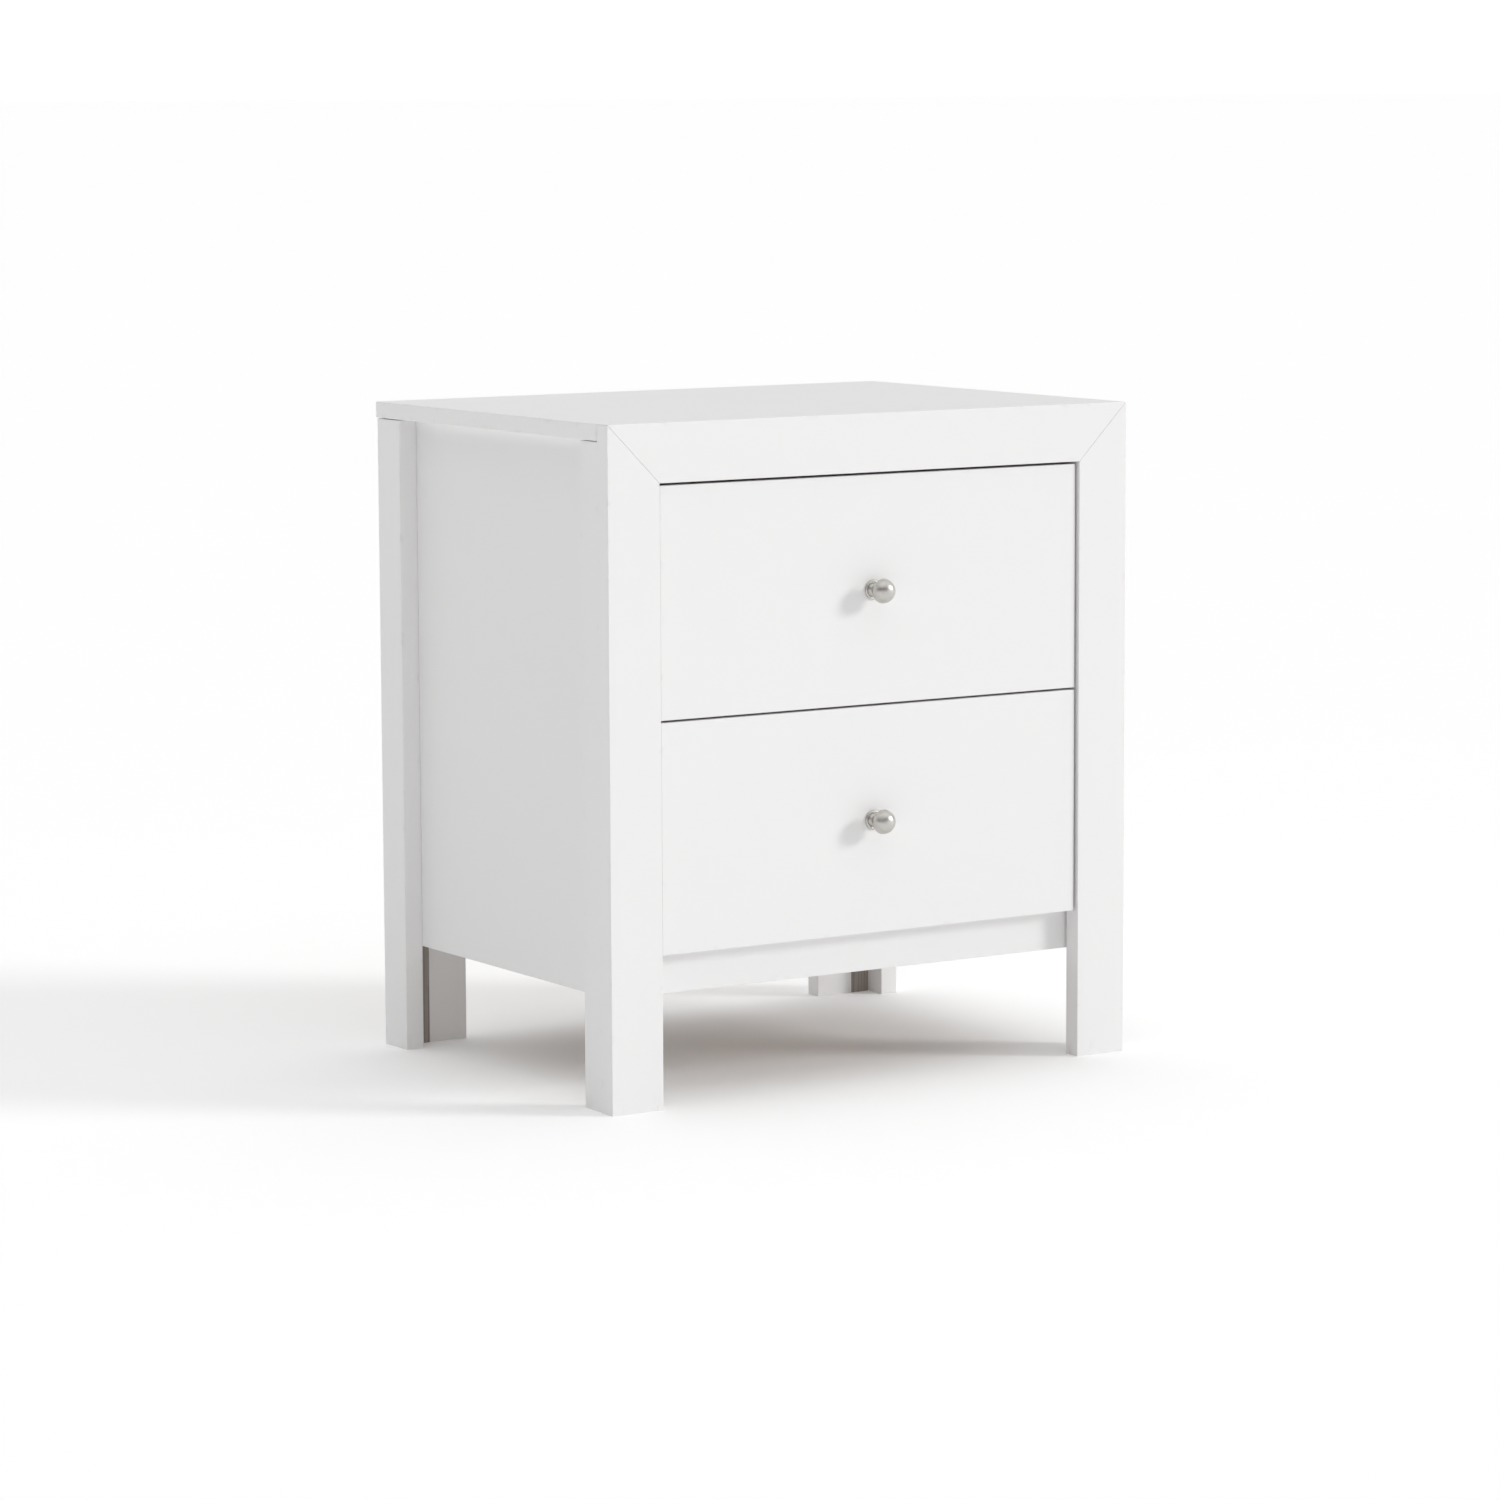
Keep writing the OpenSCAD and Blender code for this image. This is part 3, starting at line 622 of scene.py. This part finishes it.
# %% Turning the knobs
def knob_profile(node):
    low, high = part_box(node)
    long, head = high.y - low.y, (high.x - low.x) / 2
    rim, rim_z, foot, neck = 1.2 * MM, 0.62 * long, 0.8 * head, 0.41 * head
    quarter = np.radians(np.linspace(0, 90, 13))
    lip_top = 5.2 * MM
    lip = eased_corner(np.array([
        [0, 0], [foot, 0], [foot, 0.0017], [foot - 0.0008, 0.0024], [foot - 0.0016, 0.0024],
        [foot - 0.0024, 0.0016], [neck + 0.0016, 0.0021], [neck + 0.0002, 0.0042], [neck, lip_top]]), 0.0005)
    flare = head - rim - neck
    waist = np.stack([
        neck + flare * (1 - np.cos(quarter)), lip_top + (rim_z - rim - lip_top) * np.sin(quarter)], 1)
    out = quarter * 2 - np.pi / 2
    edge = np.stack([head - rim + rim * np.cos(out), rim_z + rim * np.sin(out)], 1)[:9]
    cone = np.sin(quarter[1:])
    dome = np.stack([
        (edge[-1, 0]) * np.cos(quarter[1:]) ** 0.8,
        edge[-1, 1] + (long - edge[-1, 1]) * cone ** 1.22], 1)
    dome[-1] = [0, long]
    return np.concatenate([lip[:-1], waist[1:-1], edge, dome])


for level in ("upper", "lower"):
    node = f"{level}_knob"
    low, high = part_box(node)
    foot = (0.0, high.y, (low.z + high.z) / 2)
    made = piece(node, lathe(knob_profile(node), foot, (0, -1, 0), steps=96))
    print(made.name, len(made.data.polygons), "faces")


# %% [markdown]
# ## Folded steel
# A runner is a strip of steel folded on a press brake. Along its cross-section the sheet runs straight, then
# bends round a small radius, and both faces stay the same distance from the middle line. So the outline is
# that middle line moved half a thickness to one side, and back along the other.

# %% The folding function
STEEL = 1.2 * MM


def folded(path, start, end, bend=1.3 * MM):
    """A strip of steel along a path of (across, up) points, run from start to end in depth.

    The path is the strip's middle line. At a corner that turns by an angle, the line leaves its leg
    bend * tan(angle / 2) early and goes round a circle of radius bend; the outline is the line plus and minus
    half the thickness along its normal."""
    path = np.asarray(path, float)
    leg = np.diff(path, axis=0)
    leg /= np.linalg.norm(leg, axis=1, keepdims=True)
    line, normal = [path[:1]], [np.array([[-leg[0, 1], leg[0, 0]]])]
    for corner, a, b in zip(path[1:-1], leg[:-1], leg[1:]):
        turn = math.atan2(a[0] * b[1] - a[1] * b[0], a @ b)
        left = np.array([-a[1], a[0]])
        enter = corner - a * bend * math.tan(abs(turn) / 2)
        centre = enter + left * math.copysign(bend, turn)
        t = np.linspace(0, turn, 7)
        spin = np.array([[np.cos(t), -np.sin(t)], [np.sin(t), np.cos(t)]])
        line.append(centre + np.einsum("ijk,j->ki", spin, enter - centre))
        normal.append(np.einsum("ijk,j->ki", spin, left))
    line.append(path[-1:])
    normal.append(np.array([[-leg[-1, 1], leg[-1, 0]]]))
    line, normal = np.concatenate(line), np.concatenate(normal)
    outline = np.concatenate([line - normal * STEEL / 2, (line + normal * STEEL / 2)[::-1]])
    size = len(outline)
    points = np.zeros((2, size, 3))
    points[..., 0], points[..., 2] = outline[:, 0], outline[:, 1]
    points[0, :, 1], points[1, :, 1] = start, end
    faces = [face[::-1] for face in bands(2, size)] + [list(range(size)), list(range(size, 2 * size))[::-1]]
    points = points.reshape(-1, 3)
    return surface(points, faces, fibre=points[:, [1, 0, 2]])


# %% [markdown]
# ## Runners
# Each drawer hangs on two pairs of roller runners. The channel on the cabinet carries the front roller on a
# riveted pin and has a pressed bump that stops the drawer. The stepped strip on the drawer carries the
# rear roller, and its upper edge rolls on the front one. All places are counted from the edge of the
# opening and from the CAD runner's own box.

# %% Folding the runners
FLANGE, LIP, LEDGE, STEP = 10.5 * MM, 9 * MM, 12 * MM, 2.5 * MM
RUNNER_H, TRACK, WEB = 26 * MM, 19.8 * MM, 11.3 * MM
LIP_STARTS, AXLE_UP, AXLE_IN = 45 * MM, 10.5 * MM, 12 * MM
PIN, RIVET, PIN_LONG, WHEEL_W = 2.5 * MM, 4 * MM, 8.9 * MM, 8 * MM
STOP_H, STOP_L, STOP_FROM, STOP_TO = 5.2 * MM, 3 * MM, 2 * MM, 9.5 * MM
WHEEL = 9 * MM
edge_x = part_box("front_stile_left")[1].x
half = STEEL / 2


def rivet(root, length, facing):
    """A pin with a shoulder at its root and a domed head at its tip."""
    shoulder, head = 0.7 * MM, 0.75 * MM
    profile = eased_corner(np.array([
        [0, -half], [RIVET, -half], [RIVET, shoulder], [PIN, shoulder], [PIN, length],
        [RIVET, length], [RIVET * 0.8, length + head * 0.8], [0, length + head]]), 0.25 * MM)
    return lathe(profile, root, facing, steps=32)


for level in ("upper", "lower"):
    low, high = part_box(f"{level}_cabinet_runner_left")
    z, pin_y = low.z, low.y + AXLE_IN
    travel = [j for j in frame["joints"] if j["name"] == f"{level}_drawer_slide"][0]["range_m"][1]
    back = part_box(f"{level}_drawer_runner_left")[1].y
    stop = back - AXLE_IN - travel - WHEEL
    channel = [(edge_x + FLANGE, z + half), (edge_x + half, z + half), (edge_x + half, z + RUNNER_H - half)]
    front = folded(channel[:2] + [(edge_x + half, z + RUNNER_H)], low.y, low.y + LIP_STARTS)
    rest = folded(channel + [(edge_x + LIP, z + RUNNER_H - half)], low.y + LIP_STARTS, high.y)
    near, far = edge_x + STOP_FROM, edge_x + STOP_TO
    bump = prism(
        [(z, near), (z + STOP_H, near), (z + STOP_H, far), (z, far)], stop - STOP_L, stop, 1, 0.6 * MM)
    pin = rivet((edge_x + STEEL, pin_y, z + AXLE_UP), PIN_LONG, (1, 0, 0))
    parts = [front, rest, bump, pin]
    piece(f"{level}_cabinet_runner_left", *parts)
    piece(f"{level}_cabinet_runner_right", *map(mirrored, parts))

    low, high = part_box(f"{level}_drawer_runner_left")
    web = edge_x + WEB + half
    strip = folded([
        (web + half + LEDGE, z - half), (web, z - half),
        (web, z + TRACK + half), (edge_x + STEP, z + TRACK + half)], low.y, high.y)
    pin = rivet((edge_x + WEB, high.y - AXLE_IN, z + AXLE_UP), PIN_LONG, (-1, 0, 0))
    piece(f"{level}_drawer_runner_left", strip, pin)
    piece(f"{level}_drawer_runner_right", mirrored(strip), mirrored(pin))
    print(level, "runners, stop at", round(stop, 4))

# %% [markdown]
# ## Rollers
# A roller is a moulded ring with a hub, a shallow recess on each side that saves plastic, and a softened
# rim. The record says where each one turns, and the ring's profile comes back to its start.

# %% Moulding the rollers
BORE = 2.55 * MM
wheel_side = np.array([
    [BORE, 0.0005], [0.0042, 0.0002], [0.0046, 0.001], [0.0068, 0.001],
    [0.0073, 0.0002], [0.0082, 0.0], [WHEEL, 0.0009]])
wheel_ring = np.concatenate([wheel_side, (wheel_side * [1, -1] + [0, WHEEL_W])[::-1]])
wheel_ring = eased_corner(np.vstack([wheel_ring, wheel_ring[:1]]), 0.3 * MM, 3)[:-1]
for joint in frame["joints"]:
    if joint["type"] == "hinge":
        node = frame["record"]["behaviour"]["bodies"][joint["child"]][0]
        low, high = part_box(node)
        hub = (low.x, joint["pos_m"][1], joint["pos_m"][2])
        piece(node, lathe(wheel_ring, hub, (1, 0, 0), steps=64, ring=True))

# %% [markdown]
# ## Screws, cams and pins
# Small as they are, these are what tells a drawer's inside from a box: cross-headed screws in the runners,
# the big cross of each cam disc let into the board, and a row of pins round the back panel. Each head
# is turned with enough rings across its face for the cross to be cut clean.

# %% Driving the fixings
SCREW_DEPTHS, DRAWER_SCREW_UP = (60, 190, 320), 5 * MM
CAM_REACH, TOP_CAM_IN, BOX_CAM_UP, BOX_CAM_DOWN = 24 * MM, 40 * MM, 40 * MM, 25 * MM
PIN_HEAD, PIN_HEIGHTS, PIN_IN, PIN_FROM_EDGE = 2.5 * MM, (0.16, 0.30, 0.45), 0.1, 25 * MM


def head_profile(radius, dome, under, shank, length):
    """From the tip of the shank up to the middle of a domed head of height dome * (1 - (r / radius)^2)."""
    r = np.linspace(1, 0, 15)
    face = np.stack([radius * r, dome * (1 - r ** 2)], 1)
    return np.concatenate([[[0, -length], [shank, 0.002 - length], [shank, -under]], face])


def at_screws(plane, facing, up):
    """The three screws along a left runner, one surface each."""
    profile = head_profile(3.5 * MM, 0.25 * MM, 1.6 * MM, 1.75 * MM, 9 * MM)
    cross = (0.5 * MM, 2.1 * MM, 0.9 * MM)
    return [
        lathe(profile, (plane, rail_low.y + depth * MM, up), (facing, 0, 0), steps=48, cross=cross)
        for depth in SCREW_DEPTHS]


def cam(face, facing, reach):
    """A cam disc let into a board's face, with its big cross, and the shank of the bolt that it grips."""
    face, facing, reach = (np.asarray(v, float) for v in (face, facing, reach))
    profile = head_profile(7.5 * MM, 0.15 * MM, 1.0 * MM, 7.3 * MM, 10 * MM)
    disc = lathe(profile, face, facing, steps=64, cross=(0.9 * MM, 4.2 * MM, 1.6 * MM))
    shank, long, sunk = 2.5 * MM, 30 * MM, 6 * MM
    bolt = lathe([[0, 0], [shank, 0], [shank, long], [0, long]], face - facing * sunk, reach, steps=24)
    return [disc, bolt]


cabinet_screws = []
for level in ("upper", "lower"):
    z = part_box(f"{level}_cabinet_runner_left")[0].z
    cabinet_screws += at_screws(edge_x + STEEL, 1, z + AXLE_UP)
    drawer_screws = at_screws(edge_x + WEB, -1, z + DRAWER_SCREW_UP)
    piece(f"{level}_drawer_runner_screws", *drawer_screws, *map(mirrored, drawer_screws))

    low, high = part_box(f"{level}_drawer_side_left")
    cams = []
    for up in (low.z + BOX_CAM_UP, high.z - BOX_CAM_DOWN):
        cams += cam((high.x, low.y + CAM_REACH, up), (1, 0, 0), (0, -1, 0))
        cams += cam((high.x + CAM_REACH, high.y, up), (0, 1, 0), (-1, 0, 0))
    piece(f"{level}_drawer_cam_fittings", *cams, *map(mirrored, cams))

    foot_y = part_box(f"{level}_drawer_front")[1].y
    knob_low, knob_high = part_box(f"{level}_knob")
    head, thread = 4 * MM, 2 * MM
    crown = head_profile(head, 0.9 * MM, 0.2 * MM, thread, 20 * MM)[3:] + [0, 1.7 * MM]
    pan = np.concatenate([[[0, -19.8 * MM], [thread, -17.8 * MM], [thread, 0], [head, 0]], crown])
    centre = (0.0, foot_y, (knob_low.z + knob_high.z) / 2)
    cross = (0.55 * MM, 2.3 * MM, 1.1 * MM)
    piece(f"{level}_knob_screw", lathe(pan, centre, (0, 1, 0), steps=48, cross=cross))
piece("cabinet_runner_screws", *cabinet_screws, *map(mirrored, cabinet_screws))

panel_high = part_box("side_panel_left")[1]
apron_low, apron_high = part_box("apron")
top_cams = [
    part for y in (rail_high.y + TOP_CAM_IN, panel_high.y - TOP_CAM_IN)
    for part in cam((panel_high.x, y, panel_high.z - CAM_REACH), (1, 0, 0), (0, 0, 1))]
apron_middle = (apron_low.z + apron_high.z) / 2
top_cams += cam((apron_low.x + CAM_REACH, apron_high.y, apron_middle), (0, 1, 0), (-1, 0, 0))
piece("frame_cam_fittings", *top_cams, *map(mirrored, top_cams))

back_low, back_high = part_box("back_panel")
side_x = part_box("back_panel_nails")[1].x - PIN_HEAD
pin_profile = np.array([[0, -8], [0.8, -8], [0.8, 0], [2.5, 0], [2.2, 0.5], [1.2, 0.78], [0, 0.8]])
rails = (back_low.z + PIN_FROM_EDGE, back_high.z - PIN_FROM_EDGE)
spots = [(side_x, z) for z in PIN_HEIGHTS] + [(PIN_IN, z) for z in rails]
pins = [lathe(pin_profile * MM, (x, back_low.y, z), (0, -1, 0), steps=24) for x, z in spots]
piece("back_panel_nails", *pins, *map(mirrored, pins))

# %% [markdown]
# ## Dowels
# The dowels are glued out of sight inside the joints. Their CAD solids stay as they are and only take a
# finish; a CAD mesh carries none of the numbers made above, so beech gets its own short recipe that reads
# the place alone.

# %% The dowels' beech
def beech(start):
    place = start.node("ShaderNodeTexCoord", out="Object")
    rays = step(noise(place, 1600.0, 2.0), 0.55, 0.7)
    flame = noise(place, 140.0, 3.0)
    wood = blend(flame, (0.50, 0.34, 0.20), (0.62, 0.44, 0.28))
    return {
        "Base Color": blend(rays * 0.4, wood, (0.36, 0.22, 0.12)),
        "Roughness": 0.5 + 0.2 * flame,
        "Normal": raised(rays, 0.00004),
    }


finish("beech", beech)
dowels = frame["nodes"]["frame_dowels"]
dowels.data.materials.clear()
dowels.data.materials.append(finishes["beech"])
print("CAD nodes that stay", [n for n, o in frame["nodes"].items() if not o.hide_render])

# %% [markdown]
# ## Floor
# The object stands on a plain pale sheet that is lit from below as well as above, as a light table is, so
# the ground stays nearly white and only the softest shadow is left round the feet.

# %% The floor
FLOOR = 400.0
sheet = bpy.data.meshes.new("floor")
corners = [(x * FLOOR, y * FLOOR, 0) for x, y in ((-1, -1), (1, -1), (1, 1), (-1, 1))]
sheet.from_pydata(corners, [], [(0, 1, 2, 3)])


def pale(start):
    place = start.node("ShaderNodeTexCoord", out="Object")
    return {"Base Color": blend(noise(place, 1.2, 1.0), (0.92, 0.92, 0.92), (0.93, 0.93, 0.93))}


finish("pale_floor", pale, Roughness=0.9, Specular_IOR_Level=0.1,
       Emission_Color=(1.0, 1.0, 1.0, 1.0), Emission_Strength=0.13)
sheet.materials.append(finishes["pale_floor"])
floor = bpy.data.objects.new("floor", sheet)
bpy.context.scene.collection.objects.link(floor)
print("floor", 2 * FLOOR, "m across")

# %% [markdown]
# ## Light
# A white room does half of the work: it is brightest overhead, less so behind, and dim elsewhere, so that
# the left side reads a step darker than the front and the legs' inner faces stay dark.
# A broad soft lamp from the right in front, not much above the top, does the rest: it lifts the front and
# throws the soft-edged shadows of the knobs. It stands so far off that it lights the whole floor evenly,
# which makes it a sun lamp in Blender, as wide in the sky as a large softbox looks from nearby. A low white
# backdrop runs all round where the floor ends, so that the ground meets it with no visible edge.

# %% Lamp and room
KEY_TURN, KEY_RISE = math.radians(52), math.radians(20.5)
towards = Vector((
    math.sin(KEY_TURN) * math.cos(KEY_RISE), -math.cos(KEY_TURN) * math.cos(KEY_RISE), math.sin(KEY_RISE)))
lamp = bpy.data.lights.new("key", "SUN")
lamp.energy, lamp.angle = 1.36, math.radians(15)
key = bpy.data.objects.new("key", lamp)
key.rotation_mode = "QUATERNION"
key.rotation_quaternion = towards.to_track_quat("Z", "Y")
bpy.context.scene.collection.objects.link(key)

room = bpy.data.worlds.new("room")
bpy.context.scene.world = room
room.use_nodes = True
sky = Wire(room.node_tree)
direction = sky.node("ShaderNodeTexCoord", out="Generated")


def facing(x, y, z):
    """How much a direction in the room looks the given way: 1 straight at it, 0 square to it."""
    return sky.node(
        "ShaderNodeVectorMath", {"operation": "DOT_PRODUCT"}, {0: direction, 1: (x, y, z)}, out="Value")


overhead = facing(0.0, 0.0, 1.0)
backdrop = 1 - step(overhead, 0.09, 0.12)
behind = facing(0.3, 0.95, 0.0)
bright = 0.05 + 0.28 * step(behind, 0.1, 0.9) + 1.08 * step(overhead, 0.3, 0.9) + 0.96 * backdrop
room.node_tree.links.new(bright.socket, room.node_tree.nodes["Background"].inputs["Strength"])
room.node_tree.nodes["Background"].inputs["Color"].default_value = (1.0, 1.0, 1.0, 1.0)
bpy.context.scene.view_settings.view_transform = "Standard"
print("key towards", [round(x, 3) for x in towards])

# %% [markdown]
# ## Camera
# A long lens stands nearly five metres off, a little left of the front and slightly above the top. It looks
# down by seven degrees and is tilted by a quarter of a degree, as a hand-set tripod is.

# %% The camera
lens = bpy.data.cameras.new("camera")
lens.lens, lens.sensor_width, lens.clip_start, lens.clip_end = 122.797, 36.0, 0.1, 2000.0
camera = bpy.data.objects.new("camera", lens)
TURN, DOWN, TILT = math.radians(32.575), math.radians(7.384), math.radians(-0.245)
ahead = Vector((math.sin(TURN) * math.cos(DOWN), math.cos(TURN) * math.cos(DOWN), -math.sin(DOWN)))
camera.matrix_world = (
    Matrix.Translation((-2.5636, -4.00035, 0.90015))
    @ ahead.to_track_quat("-Z", "Y").to_matrix().to_4x4()
    @ Matrix.Rotation(TILT, 4, "Z"))
bpy.context.scene.collection.objects.link(camera)
bpy.context.scene.camera = camera
print("camera", round(lens.lens, 1), "mm")
